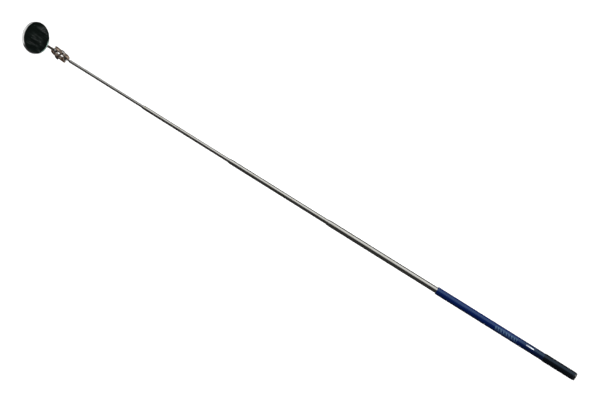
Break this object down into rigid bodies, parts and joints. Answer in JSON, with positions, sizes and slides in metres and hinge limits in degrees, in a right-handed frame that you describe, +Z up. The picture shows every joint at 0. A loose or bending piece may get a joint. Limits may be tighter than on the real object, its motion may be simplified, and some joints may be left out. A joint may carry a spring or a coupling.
{
  "type": "telescoping inspection mirror",
  "caption": "Telescoping inspection mirror: a round framed mirror on a double ball joint at the tip of a nested tube shaft, with a sleeved blue handle.",
  "frame": {"origin": "centre of the flat rear face of the butt plug, on the shaft's axis", "axes": "+X along the shaft from the butt to the mirror, +Z up, on the side the mirror faces, +Y by the right-hand rule"},
  "size_m": [0.6489, 0.0311, 0.045],
  "materials": {
    "drawn_steel": "bright plated, fine drawing lines along the tube",
    "rod_steel": "ground solid rod, satin",
    "polished_steel": "polished",
    "blue_grip": "glossy dark blue sleeve",
    "black_cap": "glossy black sleeve",
    "brass": "turned",
    "spring_brass": "satin",
    "ball_steel": "polished",
    "plate_steel": "pressed and tumbled, warm grey",
    "screw_steel": "zinc plated",
    "chrome_rim": "bright chrome",
    "foam_pad": "soft pad",
    "mirror_glass": "polished"
  },
  "bodies": {
    "handle": {"handle_tube": "drawn_steel", "grip_sleeve": "blue_grip", "end_cap": "black_cap", "butt_plug": "polished_steel"},
    "stage_2_slider": {"stage_2_friction_sleeve": "spring_brass"},
    "stage_2": {"stage_2_tube": "drawn_steel", "stage_2_bush": "brass"},
    "stage_3_slider": {"stage_3_friction_sleeve": "spring_brass"},
    "stage_3": {"stage_3_tube": "drawn_steel", "stage_3_bush": "brass"},
    "stage_4_slider": {"stage_4_friction_sleeve": "spring_brass"},
    "stage_4": {"stage_4_tube": "drawn_steel", "stage_4_bush": "brass"},
    "rod_slider": {"rod_friction_sleeve": "spring_brass"},
    "rod": {"tip_rod": "rod_steel", "rod_bush": "brass"},
    "rod_ball_joint": {"rod_ball": "ball_steel"},
    "clamp": {"front_plate": "plate_steel", "rear_plate": "plate_steel", "joint_screw": "screw_steel", "lock_washer": "screw_steel", "joint_nut": "screw_steel"},
    "mirror_ball_joint": {"mirror_ball": "ball_steel"},
    "mirror_head": {"mirror_stem": "rod_steel", "stem_strap": "plate_steel", "strap_rivets": "screw_steel", "mirror_frame": "chrome_rim", "mirror_pad": "foam_pad", "mirror_glass": "mirror_glass"}
  },
  "joints": [
    {"name": "stage_2_slide", "type": "slide", "parent": "handle", "child": "stage_2_slider", "axis": [1, 0, 0], "range_m": [-0.126, 0]},
    {"name": "stage_2_twist", "type": "hinge", "parent": "stage_2_slider", "child": "stage_2", "pos_m": [0.1611, 0, 0], "axis": [1, 0, 0], "continuous": true},
    {"name": "stage_3_slide", "type": "slide", "parent": "stage_2", "child": "stage_3_slider", "axis": [1, 0, 0], "range_m": [-0.113, 0]},
    {"name": "stage_3_twist", "type": "hinge", "parent": "stage_3_slider", "child": "stage_3", "pos_m": [0.2907, 0, 0], "axis": [1, 0, 0], "continuous": true},
    {"name": "stage_4_slide", "type": "slide", "parent": "stage_3", "child": "stage_4_slider", "axis": [1, 0, 0], "range_m": [-0.099, 0]},
    {"name": "stage_4_twist", "type": "hinge", "parent": "stage_4_slider", "child": "stage_4", "pos_m": [0.4067, 0, 0], "axis": [1, 0, 0], "continuous": true},
    {"name": "rod_slide", "type": "slide", "parent": "stage_4", "child": "rod_slider", "axis": [1, 0, 0], "range_m": [-0.081, 0]},
    {"name": "rod_twist", "type": "hinge", "parent": "rod_slider", "child": "rod", "pos_m": [0.5087, 0, 0], "axis": [1, 0, 0], "continuous": true},
    {"name": "rod_ball_tilt", "type": "hinge", "parent": "rod", "child": "rod_ball_joint", "pos_m": [0.6022, 0, 0], "axis": [0, 0.3923, 0.9198], "range_deg": [0, 40.8]},
    {"name": "rod_ball_swing", "type": "hinge", "parent": "rod_ball_joint", "child": "clamp", "pos_m": [0.6022, 0, 0], "axis": [-0.3486, -0.8621, 0.3677], "range_deg": [-88.3, 31.7]},
    {"name": "mirror_ball_swing", "type": "hinge", "parent": "clamp", "child": "mirror_ball_joint", "pos_m": [0.61353, -0.00132, 0.00764], "axis": [-0.3486, -0.8621, 0.3677], "range_deg": [-87.3, 72.7]},
    {"name": "mirror_turn", "type": "hinge", "parent": "mirror_ball_joint", "child": "mirror_head", "pos_m": [0.61353, -0.00132, 0.00764], "axis": [0.782, 0.0204, 0.623], "continuous": true}
  ]
}
